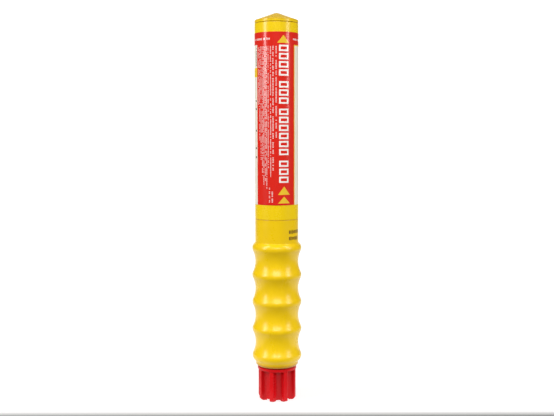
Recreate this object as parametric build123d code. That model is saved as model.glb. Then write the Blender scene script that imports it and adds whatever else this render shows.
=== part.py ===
"""Hand-held parachute rocket distress signal: ribbed grip, launch tube, pull-type striker and rocket.

Millimetres, +Z up towards the nose, origin on the axis at the bottom of the base cap's lobes.
Every turned piece is drawn as a (radius, height) outline and revolved about the vertical axis.
"""
from build123d import *
from math import cos, radians, sin, tan
import os

# Overall
TUBE_R = 17.0
TUBE_TOP_Z = 294.3
SEAM_Z = 143.8
BORE_R = 14.2
CLEAR = 0.3
SNUG = 0.05
EDGE_BREAK = 0.3

# Ribbed grip handle
GRIP_END_Z = 27.5
GRIP_END_R = 16.25
COLLAR_R = 16.95
GROOVE_R = 16.9
RIB_R = 19.35
RIB_COUNT = 5
RIB_PITCH = 21.4
LOWEST_RIB_Z = 35.3
RIB_TIP_RADIUS = 5.0
GRIP_BORE_R = 15.65
GRIP_WEB_LOW_Z = 36.0
GRIP_WEB_TOP_Z = 40.0
SHANK_R = GRIP_BORE_R - SNUG

# Base cap and its two-start thread
CAP_LOBES = 8
LOBE_TURN = -17.2
LOBE_R = 15.15
FLUTE_R = 3.9
FLUTE_CENTRE_R = 13.7
LOBE_EDGE_FILLET = 0.7
LOBE_FOOT_ROUND = 2.9
FOOT_INNER_R = 10.4
FOOT_HEIGHT = 0.8
FLANGE_R = 15.35
FLANGE_LOW_Z = 24.2
FLANGE_TOP_Z = 26.7
CAP_POCKET_R = 7.2
CAP_FLOOR = 2.6
SPIGOT_R = 11.3
SPIGOT_TOP_Z = 34.0
THREAD_LEAD = 8.0
THREAD_STARTS = 2
THREAD_HEIGHT = 0.85
THREAD_ROOT_HALF = 0.95
THREAD_TIP_HALF = 0.55
THREAD_CLEAR = 0.25
THREAD_TURNS_HEIGHT = 4.1
THREAD_LOW_Z = 28.4

# Label
LABEL_LOW_Z = 155.4
LABEL_TOP_Z = 286.7
LABEL_THICKNESS = 0.08

# Nose cap
NOSE_TIP_Z = 302.6
NOSE_RIM_LOW_Z = 294.5
NOSE_RIM_R = 16.95
NOSE_TIP_ROUND = 6.5
NOSE_SLOPE = 20.0
NOSE_WALL = 1.8
NOSE_SKIRT_LOW_Z = 288.4
NOSE_SKIRT_R = 15.3
NOSE_SKIRT_BORE_R = 12.6
SOCKET_LOW_Z = 287.6
SOCKET_R = 15.6

# Firing mechanism
HOUSING_LOW_Z = GRIP_WEB_TOP_Z
HOUSING_FLOOR_Z = 43.0
HOUSING_TOP_Z = 71.0
HOUSING_FLANGE = 3.0
HOUSING_R = 15.55
BARREL_R = 9.3
BARREL_BORE_R = 6.5
RELEASE_R = 7.9
BREECH_TOP_Z = 78.0
STRIKER_R = 6.42
STRIKER_LOW_Z = 60.0
STRIKER_TOP_Z = 67.0
STROKE = 9.0
ROD_R = 1.7
ROD_HEAD_R = 2.9
ROD_WAIST_R = 2.1
BALL_R = 2.05
BALL_Z = 62.3
BALL_COUNT = 3
SPRING_COIL_R = 4.9
SPRING_WIRE_R = 0.5
SPRING_TURNS = 6
BUSH_R = 4.6
KNOB_R = 6.4
KNOB_LOW_Z = 12.5
KNOB_TOP_Z = 29.0
KNOB_PIN_R = 0.8
KNOB_PIN_RISE = 7.5
SCREW_COUNT = 4
SCREW_CIRCLE_R = 11.6
SCREW_R = 1.45
SCREW_HEAD_R = 2.7
SCREW_HEAD = 2.4
HOLDER_R = 5.6
HOLDER_TOP_Z = 75.4
PRIMER_R = 2.8
PRIMER_TOP_Z = 74.4

# Rocket
ROCKET_R = BORE_R - CLEAR
SEAT_TOP_Z = 80.0
NOZZLE_TOP_Z = 90.0
MOTOR_LOW_Z = 82.0
MOTOR_TOP_Z = 150.0
MOTOR_BORE_R = 12.7
GRAIN_LOW_Z = 91.0
GRAIN_TOP_Z = 138.5
BULKHEAD_LOW_Z = 139.0
BULKHEAD_TOP_Z = 157.0
CANISTER_TOP_Z = 284.0
CANISTER_BORE_R = 13.0
CUP_TOP_Z = 162.0

# Payload inside the canister
PAYLOAD_R = CANISTER_BORE_R - CLEAR
WAD_LOW_Z = 162.4
WAD_TOP_Z = 166.0
CANDLE_TOP_Z = 226.0
CANDLE_BORE_R = 11.7
PARACHUTE_LOW_Z = 239.0
PARACHUTE_TOP_Z = 280.0
LID_LOW_Z = 280.4
LID_TOP_Z = 285.0
PAD_TOP_Z = 287.8


def turned(*points):
    """Revolve a closed outline of (radius, height) points about the axis."""
    return revolve(Plane.XZ * make_face(Polyline(*points, close=True)), Axis.Z)


def ring(outer, inner, low, top):
    """Plain annular piece."""
    return turned((inner, low), (outer, low), (outer, top), (inner, top))


def rod(radius, low, top):
    """Plain round piece on the axis."""
    return Pos(0, 0, low) * Cylinder(radius, top - low, align=(Align.CENTER, Align.CENTER, Align.MIN))


def o_ring(centre_r, section_r, height):
    """Round-section seal on the axis."""
    return Pos(0, 0, height) * Torus(centre_r, section_r)


def edges_at(piece, height, radius):
    """Circular edges of a turned piece at one height and radius."""
    return [
        edge
        for edge in piece.edges().filter_by(GeomType.CIRCLE)
        if abs(edge.center(CenterOf.MASS).Z - height) < 0.01 and abs(edge.radius - radius) < 0.01
    ]


def rib_outline():
    """Outer grip curve from the collar down to the end face, as tangent arcs.

    Each finger groove is one arc; its radius follows from the rib tip radius and the groove depth.
    """
    half = RIB_PITCH / 2
    reach = GROOVE_R - RIB_R + RIB_TIP_RADIUS
    scallop = (reach**2 + half**2 - RIB_TIP_RADIUS**2) / (2 * (RIB_TIP_RADIUS - reach))
    tip_centre_r = RIB_R - RIB_TIP_RADIUS
    share = scallop / (scallop + RIB_TIP_RADIUS)
    touch_r = GROOVE_R + scallop + (tip_centre_r - GROOVE_R - scallop) * share
    touch_dz = half * share
    flank = RIB_TIP_RADIUS * sin(radians(45))
    flank_r = tip_centre_r + flank
    top_rib_z = LOWEST_RIB_Z + (RIB_COUNT - 1) * RIB_PITCH
    foot_z = top_rib_z + flank + flank_r - COLLAR_R

    top_r = COLLAR_R - EDGE_BREAK
    curves = [Polyline((top_r, SEAM_Z), (COLLAR_R, SEAM_Z - EDGE_BREAK), (COLLAR_R, foot_z))]
    curves += [Line((COLLAR_R, foot_z), (flank_r, top_rib_z + flank))]
    start = (flank_r, top_rib_z + flank)
    for index in range(RIB_COUNT):
        rib_z = top_rib_z - index * RIB_PITCH
        if index < RIB_COUNT - 1:
            end = (touch_r, rib_z - half + touch_dz)
        else:
            end = (flank_r, rib_z - flank)
        curves.append(ThreePointArc(start, (RIB_R, rib_z), end))
        if index < RIB_COUNT - 1:
            groove_z = rib_z - half
            start = (touch_r, groove_z - touch_dz)
            curves.append(ThreePointArc(end, (GROOVE_R, groove_z), start))
    base_z = LOWEST_RIB_Z - flank - (flank_r - COLLAR_R)
    curves += [Line((flank_r, LOWEST_RIB_Z - flank), (COLLAR_R, base_z))]
    curves += [Line((COLLAR_R, base_z), (GRIP_END_R + 0.4, GRIP_END_Z + 0.9))]
    curves += [Line((GRIP_END_R + 0.4, GRIP_END_Z + 0.9), (GRIP_END_R - 0.4, GRIP_END_Z))]
    return curves


def thread_ridges(core_r, low_z, height, extra):
    """Helical ridges of every start; extra grows the form into its running clearance."""
    helix = Helix(pitch=THREAD_LEAD, height=height, radius=core_r)
    form = Plane.XZ * make_face(
        Polyline(
            (core_r - 0.4, -THREAD_ROOT_HALF - extra),
            (core_r + THREAD_HEIGHT + extra, -THREAD_TIP_HALF - extra),
            (core_r + THREAD_HEIGHT + extra, THREAD_TIP_HALF + extra),
            (core_r - 0.4, THREAD_ROOT_HALF + extra),
            close=True,
        )
    )
    ridge = sweep(form, path=helix, is_frenet=True)
    start_turn = 360 * (low_z - THREAD_LOW_Z) / THREAD_LEAD
    return [
        Pos(0, 0, low_z) * Rot(0, 0, start_turn + 360 * start / THREAD_STARTS) * ridge
        for start in range(THREAD_STARTS)
    ]


def grip_handle():
    """Ribbed grip with its neck thread, floor web and plain bore."""
    neck_r = SPIGOT_R + 0.15
    seal_z = LOWEST_RIB_Z + (RIB_COUNT - 1) * RIB_PITCH
    curves = rib_outline()
    inner = Polyline(
        (GRIP_END_R - 0.4, GRIP_END_Z),
        (neck_r, GRIP_END_Z),
        (neck_r, GRIP_WEB_LOW_Z),
        (BUSH_R + SNUG, GRIP_WEB_LOW_Z),
        (BUSH_R + SNUG, GRIP_WEB_TOP_Z),
        (GRIP_BORE_R, GRIP_WEB_TOP_Z),
        (GRIP_BORE_R, SEAM_Z),
        (COLLAR_R - EDGE_BREAK, SEAM_Z),
    )
    face = make_face(Curve() + [*curves, inner])
    body = revolve(Plane.XZ * face, Axis.Z)
    body -= ring(GRIP_BORE_R + 1.65, GRIP_BORE_R - 1, seal_z - 1.0, seal_z + 1.0)
    for groove in thread_ridges(SPIGOT_R, THREAD_LOW_Z - 4.0, 10.5, THREAD_CLEAR):
        body -= groove
    return body


def base_cap():
    """Fluted screw cap: lobed knob, flange, threaded spigot and the pocket for the pull knob."""
    plan = Circle(LOBE_R)
    flute = Pos(FLUTE_CENTRE_R, 0) * Circle(FLUTE_R)
    for index in range(CAP_LOBES):
        angle = -90 + LOBE_TURN + 360 * (index + 0.5) / CAP_LOBES
        plan -= Rot(0, 0, angle) * flute
    plan = fillet(plan.vertices(), LOBE_EDGE_FILLET)
    knob = extrude(plan, FLANGE_LOW_Z)
    envelope = turned((0, 0), (LOBE_R + 1, 0), (LOBE_R + 1, FLANGE_TOP_Z), (0, FLANGE_TOP_Z))
    envelope &= fillet(edges_at(rod(LOBE_R, 0, FLANGE_TOP_Z), 0, LOBE_R), LOBE_FOOT_ROUND)
    knob &= envelope
    knob -= rod(FOOT_INNER_R, -1, FOOT_HEIGHT)
    flange = turned(
        (0, FLANGE_LOW_Z),
        (FLANGE_R - 0.4, FLANGE_LOW_Z),
        (FLANGE_R, FLANGE_LOW_Z + 0.4),
        (FLANGE_R, FLANGE_TOP_Z - 0.4),
        (FLANGE_R - 0.4, FLANGE_TOP_Z),
        (SPIGOT_R, FLANGE_TOP_Z),
        (SPIGOT_R, SPIGOT_TOP_Z - 0.6),
        (SPIGOT_R - 0.6, SPIGOT_TOP_Z),
        (0, SPIGOT_TOP_Z),
    )
    cap = knob + flange
    for ridge in thread_ridges(SPIGOT_R, THREAD_LOW_Z, THREAD_TURNS_HEIGHT, 0):
        cap += ridge
    return cap - rod(CAP_POCKET_R, CAP_FLOOR, SPIGOT_TOP_Z + 1)


def base_cap_washer():
    """Flat rubber washer between the cap's flange and the grip's end face."""
    return ring(13.8, 12.6, FLANGE_TOP_Z + SNUG, GRIP_END_Z - SNUG)


def launch_tube():
    """Outer tube with the reduced shank that plugs into the grip and the socket for the nose cap."""
    return turned(
        (BORE_R, BREECH_TOP_Z),
        (SHANK_R, BREECH_TOP_Z),
        (SHANK_R, SEAM_Z),
        (TUBE_R - EDGE_BREAK, SEAM_Z),
        (TUBE_R, SEAM_Z + EDGE_BREAK),
        (TUBE_R, TUBE_TOP_Z - EDGE_BREAK),
        (TUBE_R - EDGE_BREAK, TUBE_TOP_Z),
        (SOCKET_R, TUBE_TOP_Z),
        (SOCKET_R, SOCKET_LOW_Z),
        (BORE_R, SOCKET_LOW_Z),
    )


def tube_joint_seal():
    """Seal in the grip's internal groove, round the launch tube's shank."""
    return o_ring(SHANK_R + 0.83, 0.8, LOWEST_RIB_Z + (RIB_COUNT - 1) * RIB_PITCH)


def tube_label():
    """Printed film wrapped round the launch tube."""
    return ring(TUBE_R + LABEL_THICKNESS, TUBE_R, LABEL_LOW_Z, LABEL_TOP_Z)


def nose_cap():
    """Conical push-off cap with a plug skirt, an outer rim and a groove for its seal."""
    drop = NOSE_TIP_ROUND * (1 / cos(radians(NOSE_SLOPE)) - 1)
    slope = tan(radians(NOSE_SLOPE))
    apex_z = NOSE_TIP_Z + drop
    tangent_r = NOSE_TIP_ROUND * sin(radians(NOSE_SLOPE))
    tangent = (tangent_r, apex_z - tangent_r * slope)
    part_way = radians(NOSE_SLOPE / 2)
    middle = (NOSE_TIP_ROUND * sin(part_way), NOSE_TIP_Z - NOSE_TIP_ROUND * (1 - cos(part_way)))
    shoulder = (NOSE_RIM_R, apex_z - NOSE_RIM_R * slope)
    inner_top = apex_z - NOSE_WALL / cos(radians(NOSE_SLOPE))
    outline = [
        ThreePointArc((0, NOSE_TIP_Z), middle, tangent),
        Line(tangent, shoulder),
        Polyline(
            shoulder,
            (NOSE_RIM_R, NOSE_RIM_LOW_Z + EDGE_BREAK),
            (NOSE_RIM_R - EDGE_BREAK, NOSE_RIM_LOW_Z),
            (NOSE_SKIRT_R, NOSE_RIM_LOW_Z),
            (NOSE_SKIRT_R, NOSE_SKIRT_LOW_Z + 0.5),
            (NOSE_SKIRT_R - 0.5, NOSE_SKIRT_LOW_Z),
            (NOSE_SKIRT_BORE_R, NOSE_SKIRT_LOW_Z),
            (NOSE_SKIRT_BORE_R, inner_top - NOSE_SKIRT_BORE_R * slope),
            (0, inner_top),
            (0, NOSE_TIP_Z),
        ),
    ]
    cap = revolve(Plane.XZ * make_face(Curve() + outline), Axis.Z)
    cap = fillet(edges_at(cap, shoulder[1], NOSE_RIM_R), 0.7)
    seal_z = (NOSE_SKIRT_LOW_Z + NOSE_RIM_LOW_Z) / 2
    return cap - ring(NOSE_SKIRT_R + 1, NOSE_SKIRT_R - 1.1, seal_z - 0.9, seal_z + 0.9)


def nose_cap_seal():
    """Round seal in the nose cap's skirt."""
    section_r = (SOCKET_R - SNUG - (NOSE_SKIRT_R - 1.1)) / 2 - 0.01
    centre_r = SOCKET_R - SNUG - section_r
    return o_ring(centre_r, section_r, (NOSE_SKIRT_LOW_Z + NOSE_RIM_LOW_Z) / 2)


def mechanism_housing():
    """Spool-shaped housing: two flanges and the striker's barrel with its ball release recess."""
    release_z = BALL_Z - STROKE
    body = turned(
        (BUSH_R + SNUG, HOUSING_LOW_Z),
        (HOUSING_R, HOUSING_LOW_Z),
        (HOUSING_R, HOUSING_FLOOR_Z),
        (BARREL_R, HOUSING_FLOOR_Z),
        (BARREL_R, HOUSING_TOP_Z - HOUSING_FLANGE),
        (HOUSING_R, HOUSING_TOP_Z - HOUSING_FLANGE),
        (HOUSING_R, HOUSING_TOP_Z),
        (BARREL_BORE_R, HOUSING_TOP_Z),
        (BARREL_BORE_R, release_z + BALL_R + 1.4),
        (RELEASE_R, release_z + BALL_R),
        (RELEASE_R, release_z - BALL_R),
        (BARREL_BORE_R, release_z - BALL_R - 1.4),
        (BARREL_BORE_R, HOUSING_FLOOR_Z),
        (BUSH_R + SNUG, HOUSING_FLOOR_Z),
    )
    for position in PolarLocations(SCREW_CIRCLE_R, SCREW_COUNT):
        body -= position * rod(SCREW_R + SNUG, HOUSING_TOP_Z - HOUSING_FLANGE, HOUSING_TOP_Z)
    rib = Pos(BARREL_R - 0.5, 0, HOUSING_FLOOR_Z) * Box(
        5.5, 1.6, HOUSING_TOP_Z - HOUSING_FLANGE - HOUSING_FLOOR_Z, align=(Align.MIN, Align.CENTER, Align.MIN)
    )
    for position in PolarLocations(0, SCREW_COUNT, start_angle=180 / SCREW_COUNT):
        body += position * rib
    return body


def breech_plate():
    """Metal plate over the housing, with the screw seats, the primer holder's bore and a seal groove."""
    plate = turned(
        (HOLDER_R + SNUG, HOUSING_TOP_Z),
        (HOUSING_R, HOUSING_TOP_Z),
        (HOUSING_R, BREECH_TOP_Z),
        (3.2, BREECH_TOP_Z),
        (3.2, HOLDER_TOP_Z),
        (HOLDER_R + SNUG, HOLDER_TOP_Z),
    )
    plate -= ring(HOUSING_R + 1, HOUSING_R - 1.1, 73.6, 75.4)
    for position in PolarLocations(SCREW_CIRCLE_R, SCREW_COUNT):
        plate -= position * rod(SCREW_R + 0.15, HOUSING_TOP_Z, BREECH_TOP_Z)
        plate -= position * rod(SCREW_HEAD_R + 0.15, BREECH_TOP_Z - SCREW_HEAD - 0.2, BREECH_TOP_Z)
    return plate


def breech_seal():
    """Seal in the breech plate's rim."""
    return o_ring(GRIP_BORE_R - 0.62, 0.57, 74.5)


def breech_screws():
    """Socket-head screws that clamp the breech plate to the housing."""
    head_low = BREECH_TOP_Z - SCREW_HEAD - 0.2
    screw = rod(SCREW_R, HOUSING_TOP_Z - HOUSING_FLANGE, head_low) + rod(SCREW_HEAD_R, head_low, head_low + SCREW_HEAD)
    socket = Pos(0, 0, head_low + 1.0) * extrude(RegularPolygon(1.25, 6), SCREW_HEAD)
    screw -= socket
    return Compound([position * screw for position in PolarLocations(SCREW_CIRCLE_R, SCREW_COUNT)])


def primer_holder():
    """Bush in the breech plate that carries the primer under a flash hole."""
    return turned(
        (PRIMER_R + SNUG, HOUSING_TOP_Z),
        (HOLDER_R, HOUSING_TOP_Z),
        (HOLDER_R, HOLDER_TOP_Z - SNUG),
        (1.1, HOLDER_TOP_Z - SNUG),
        (1.1, PRIMER_TOP_Z + SNUG),
        (PRIMER_R + SNUG, PRIMER_TOP_Z + SNUG),
    )


def primer():
    """Percussion cap: a closed cup with rounded edges."""
    cup = rod(PRIMER_R, HOUSING_TOP_Z + 0.3, PRIMER_TOP_Z)
    return fillet(edges_at(cup, HOUSING_TOP_Z + 0.3, PRIMER_R), 0.4)


def striker():
    """Piston that carries the firing pin; its skirt holds the sear balls round the rod's waist."""
    piston = turned(
        (ROD_HEAD_R + 0.1, STRIKER_LOW_Z),
        (STRIKER_R - 0.4, STRIKER_LOW_Z),
        (STRIKER_R, STRIKER_LOW_Z + 0.4),
        (STRIKER_R, STRIKER_TOP_Z - 0.4),
        (STRIKER_R - 0.4, STRIKER_TOP_Z),
        (1.4, STRIKER_TOP_Z),
        (1.4, BALL_Z + 3.0),
        (ROD_HEAD_R + 0.1, BALL_Z + 3.0),
    )
    for position in PolarLocations(0, BALL_COUNT):
        piston -= position * Pos(0, 0, BALL_Z) * Rot(0, 90, 0) * Cylinder(
            BALL_R + 0.1, STRIKER_R + 1, align=(Align.CENTER, Align.CENTER, Align.MIN)
        )
    return piston


def sear_balls():
    """Steel balls that tie the striker to the pull rod until they reach the release recess."""
    centre_r = BARREL_BORE_R - SNUG - BALL_R
    return Compound([position * (Pos(centre_r, 0, BALL_Z) * Sphere(BALL_R)) for position in PolarLocations(0, BALL_COUNT)])


def firing_pin():
    """Hardened pin pressed into the striker, with a rounded nose."""
    pin = turned(
        (0, BALL_Z + 3.0),
        (1.4, BALL_Z + 3.0),
        (1.4, STRIKER_TOP_Z + 0.6),
        (0.8, STRIKER_TOP_Z + 1.4),
        (0.8, STRIKER_TOP_Z + 2.2),
        (0, STRIKER_TOP_Z + 2.2),
    )
    return fillet(edges_at(pin, STRIKER_TOP_Z + 2.2, 0.8), 0.6)


def striker_spring():
    """Compression spring between the housing's floor and the striker."""
    low = HOUSING_FLOOR_Z + SPRING_WIRE_R + 0.1
    top = STRIKER_LOW_Z - SPRING_WIRE_R - 0.1
    helix = Helix(pitch=(top - low) / SPRING_TURNS, height=top - low, radius=SPRING_COIL_R)
    section = Plane.XZ * (Pos(SPRING_COIL_R, 0) * Circle(SPRING_WIRE_R))
    return Pos(0, 0, low) * sweep(section, path=helix, is_frenet=True)


def rod_bush():
    """Flanged guide bush for the pull rod, in the grip's web and the housing's floor."""
    return turned(
        (ROD_R + SNUG, GRIP_WEB_LOW_Z - 1.5),
        (BUSH_R + 1.6, GRIP_WEB_LOW_Z - 1.5),
        (BUSH_R + 1.6, GRIP_WEB_LOW_Z),
        (BUSH_R, GRIP_WEB_LOW_Z),
        (BUSH_R, HOUSING_FLOOR_Z),
        (ROD_R + SNUG, HOUSING_FLOOR_Z),
        (ROD_R + SNUG, 40.6),
        (ROD_R + 1.1, 40.6),
        (ROD_R + 1.1, 39.2),
        (ROD_R + SNUG, 39.2),
    )


def rod_seal():
    """Small seal round the pull rod, in the bush's gland."""
    return o_ring(ROD_R + 0.56, 0.48, 39.9)


def pull_rod():
    """Steel rod with a waisted head for the sear balls; its foot is pinned into the knob."""
    shaft = turned(
        (0, KNOB_LOW_Z + 3.0),
        (ROD_R, KNOB_LOW_Z + 3.0),
        (ROD_R, BALL_Z - 3.6),
        (ROD_HEAD_R, BALL_Z - 2.6),
        (ROD_HEAD_R, BALL_Z - 1.7),
        (ROD_WAIST_R, BALL_Z - 0.9),
        (ROD_WAIST_R, BALL_Z + 0.9),
        (ROD_HEAD_R, BALL_Z + 1.7),
        (ROD_HEAD_R, BALL_Z + 2.3),
        (ROD_HEAD_R - 0.5, BALL_Z + 2.8),
        (0, BALL_Z + 2.8),
    )
    return shaft - cross_pin(KNOB_PIN_R + 0.02, KNOB_R * 2)


def pull_knob():
    """Waisted finger knob on the pull rod."""
    waist_z = (KNOB_LOW_Z + KNOB_TOP_Z) / 2 + 1.5
    outline = [
        Polyline((0, KNOB_LOW_Z), (KNOB_R - 1.4, KNOB_LOW_Z)),
        ThreePointArc(
            (KNOB_R - 1.4, KNOB_LOW_Z), (KNOB_R - 0.41, KNOB_LOW_Z + 0.41), (KNOB_R, KNOB_LOW_Z + 1.4)
        ),
        Line((KNOB_R, KNOB_LOW_Z + 1.4), (KNOB_R, KNOB_LOW_Z + 5.0)),
        ThreePointArc((KNOB_R, KNOB_LOW_Z + 5.0), (KNOB_R - 2.2, waist_z), (KNOB_R - 0.6, KNOB_TOP_Z - 1.2)),
        Polyline(
            (KNOB_R - 0.6, KNOB_TOP_Z - 1.2),
            (KNOB_R - 1.2, KNOB_TOP_Z),
            (ROD_R + 0.02, KNOB_TOP_Z),
            (ROD_R + 0.02, KNOB_LOW_Z + 2.9),
            (0, KNOB_LOW_Z + 2.9),
            (0, KNOB_LOW_Z),
        ),
    ]
    knob = revolve(Plane.XZ * make_face(Curve() + outline), Axis.Z)
    return knob - cross_pin(KNOB_PIN_R + 0.02, KNOB_R * 2)


def cross_pin(radius, length):
    """Round bar across the knob and the rod."""
    return Pos(0, 0, KNOB_LOW_Z + KNOB_PIN_RISE) * Rot(0, 90, 0) * Cylinder(radius, length)


def knob_pin():
    """Cross pin that holds the knob on the rod."""
    return cross_pin(KNOB_PIN_R, KNOB_R * 2 - 3.6)


def seat_washer():
    """Cork washer on the breech plate that the rocket stands on."""
    return ring(BORE_R - 0.2, 9.0, BREECH_TOP_Z, SEAT_TOP_Z - SNUG)


def nozzle():
    """Rocket nozzle: exit cone, throat and inlet, with a flange under the motor case."""
    return turned(
        (8.0, SEAT_TOP_Z),
        (ROCKET_R, SEAT_TOP_Z),
        (ROCKET_R, MOTOR_LOW_Z),
        (MOTOR_BORE_R - SNUG, MOTOR_LOW_Z),
        (MOTOR_BORE_R - SNUG, NOZZLE_TOP_Z),
        (9.0, NOZZLE_TOP_Z),
        (2.8, 87.2),
        (2.8, 85.6),
    )


def nozzle_closure():
    """Thin closing plug in the nozzle's throat."""
    return rod(2.75, 85.7, 87.1)


def motor_case():
    """Rocket motor tube with a rolled bead near its head end."""
    return turned(
        (MOTOR_BORE_R, MOTOR_LOW_Z),
        (ROCKET_R, MOTOR_LOW_Z),
        (ROCKET_R, 143.0),
        (ROCKET_R - 0.5, 143.6),
        (ROCKET_R - 0.5, 145.0),
        (ROCKET_R, 145.6),
        (ROCKET_R, MOTOR_TOP_Z),
        (MOTOR_BORE_R, MOTOR_TOP_Z),
    )


def propellant_grain():
    """Motor charge as a plain cylinder with a central bore."""
    return ring(MOTOR_BORE_R - 0.2, 3.2, GRAIN_LOW_Z, GRAIN_TOP_Z)


def motor_bulkhead():
    """Plug that closes the motor, joins the payload canister and carries the delay."""
    return turned(
        (2.6, BULKHEAD_LOW_Z),
        (MOTOR_BORE_R - SNUG, BULKHEAD_LOW_Z),
        (MOTOR_BORE_R - SNUG, MOTOR_TOP_Z),
        (CANISTER_BORE_R - SNUG, MOTOR_TOP_Z),
        (CANISTER_BORE_R - SNUG, BULKHEAD_TOP_Z),
        (8.0, BULKHEAD_TOP_Z),
        (8.0, BULKHEAD_TOP_Z - 3.0),
        (2.6, BULKHEAD_TOP_Z - 3.0),
    )


def delay_element():
    """Delay column through the bulkhead."""
    return rod(2.55, BULKHEAD_LOW_Z + 0.1, BULKHEAD_TOP_Z - 3.0)


def expelling_cup():
    """Shallow closed cup over the bulkhead."""
    return rod(7.9, BULKHEAD_TOP_Z - 2.9, BULKHEAD_TOP_Z) + rod(11.5, BULKHEAD_TOP_Z, CUP_TOP_Z)


def payload_canister():
    """Thin tube over the candle and the parachute."""
    return ring(ROCKET_R, CANISTER_BORE_R, MOTOR_TOP_Z, CANISTER_TOP_Z)


def pusher_wad():
    """Felt wad between the expelling cup and the candle."""
    return rod(PAYLOAD_R, WAD_LOW_Z, WAD_TOP_Z)


def candle_case():
    """Flare candle's metal case, open downwards, with a shallow bead."""
    bead_z = CANDLE_TOP_Z - 8.0
    return turned(
        (CANDLE_BORE_R, WAD_TOP_Z),
        (PAYLOAD_R - 0.1, WAD_TOP_Z),
        (PAYLOAD_R - 0.1, bead_z - 1.2),
        (PAYLOAD_R - 0.6, bead_z - 0.6),
        (PAYLOAD_R - 0.6, bead_z + 0.6),
        (PAYLOAD_R - 0.1, bead_z + 1.2),
        (PAYLOAD_R - 0.1, CANDLE_TOP_Z),
        (CANDLE_BORE_R, CANDLE_TOP_Z),
    )


def candle_fill():
    """Candle body as a plain cylinder."""
    return rod(CANDLE_BORE_R - SNUG, WAD_TOP_Z + 1.0, CANDLE_TOP_Z - 6.0)


def candle_end_cap():
    """End cap crimped into the candle case, with a boss for the swivel."""
    return turned(
        (0, CANDLE_TOP_Z - 5.0),
        (CANDLE_BORE_R - SNUG, CANDLE_TOP_Z - 5.0),
        (CANDLE_BORE_R - SNUG, CANDLE_TOP_Z),
        (PAYLOAD_R - 0.1, CANDLE_TOP_Z),
        (PAYLOAD_R - 0.1, CANDLE_TOP_Z + 1.2),
        (4.0, CANDLE_TOP_Z + 1.2),
        (4.0, CANDLE_TOP_Z + 3.0),
        (1.6, CANDLE_TOP_Z + 3.0),
        (1.6, CANDLE_TOP_Z - 2.0),
        (0, CANDLE_TOP_Z - 2.0),
    )


def suspension_swivel():
    """Eye on a stem in the candle's end cap, where the parachute's lines join."""
    low = CANDLE_TOP_Z - 1.9
    stem = rod(1.5, low, CANDLE_TOP_Z + 4.2) + rod(2.6, CANDLE_TOP_Z + 3.1, CANDLE_TOP_Z + 4.2)
    eye = Pos(0, 0, CANDLE_TOP_Z + 7.4) * Rot(90, 0, 0) * Torus(2.9, 0.9)
    return stem + eye


def parachute_pack():
    """Folded parachute as one rounded bundle, waisted where its bands hold it."""
    band_step = (PARACHUTE_TOP_Z - PARACHUTE_LOW_Z) / 3
    bundle = rod(PAYLOAD_R - 0.1, PARACHUTE_LOW_Z, PARACHUTE_TOP_Z)
    ends = edges_at(bundle, PARACHUTE_LOW_Z, PAYLOAD_R - 0.1) + edges_at(bundle, PARACHUTE_TOP_Z, PAYLOAD_R - 0.1)
    bundle = fillet(ends, 3.0)
    for index in (1, 2):
        bundle -= o_ring(PAYLOAD_R + 0.6, 1.5, PARACHUTE_LOW_Z + index * band_step)
    return bundle


def parachute_bands():
    """Flat elastic bands in the bundle's two waists."""
    band_step = (PARACHUTE_TOP_Z - PARACHUTE_LOW_Z) / 3
    heights = [PARACHUTE_LOW_Z + index * band_step for index in (1, 2)]
    return Compound([ring(PAYLOAD_R - 0.2, PAYLOAD_R - 0.75, z - 0.6, z + 0.6) for z in heights])


def canister_lid():
    """Push-off lid of the payload canister."""
    return turned(
        (0, LID_LOW_Z + 2.0),
        (PAYLOAD_R - 1.0, LID_LOW_Z + 2.0),
        (PAYLOAD_R - 1.0, LID_LOW_Z),
        (PAYLOAD_R, LID_LOW_Z),
        (PAYLOAD_R, CANISTER_TOP_Z + SNUG),
        (ROCKET_R, CANISTER_TOP_Z + SNUG),
        (ROCKET_R, LID_TOP_Z),
        (0, LID_TOP_Z),
    )


def nose_pad():
    """Foam pad between the lid and the nose cap."""
    return rod(ROCKET_R - 0.4, LID_TOP_Z + SNUG, PAD_TOP_Z)


NODES = [
    launch_tube,
    grip_handle,
    tube_label,
    tube_joint_seal,
    mechanism_housing,
    breech_plate,
    breech_seal,
    breech_screws,
    primer_holder,
    primer,
    rod_bush,
    rod_seal,
    seat_washer,
    striker,
    firing_pin,
    sear_balls,
    striker_spring,
    pull_rod,
    pull_knob,
    knob_pin,
    base_cap_washer,
    base_cap,
    nozzle,
    nozzle_closure,
    motor_case,
    propellant_grain,
    motor_bulkhead,
    delay_element,
    expelling_cup,
    payload_canister,
    pusher_wad,
    candle_case,
    candle_fill,
    candle_end_cap,
    suspension_swivel,
    parachute_pack,
    parachute_bands,
    canister_lid,
    nose_pad,
    nose_cap,
    nose_cap_seal,
]

os.makedirs("parts", exist_ok=True)
for make in NODES:
    piece = make()
    export_step(piece, f"parts/{make.__name__}.step")
    print(make.__name__, round(piece.volume, 1))
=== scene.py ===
"""Looks of a hand-held parachute rocket signal: shells, printed wrap, firing parts and payload.

Sizes are millimetres and become metres where a mesh is made. The axis is Z, the front is -Y.
"""
import math
import bpy
import bmesh
from mathutils import Matrix, Vector


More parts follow.
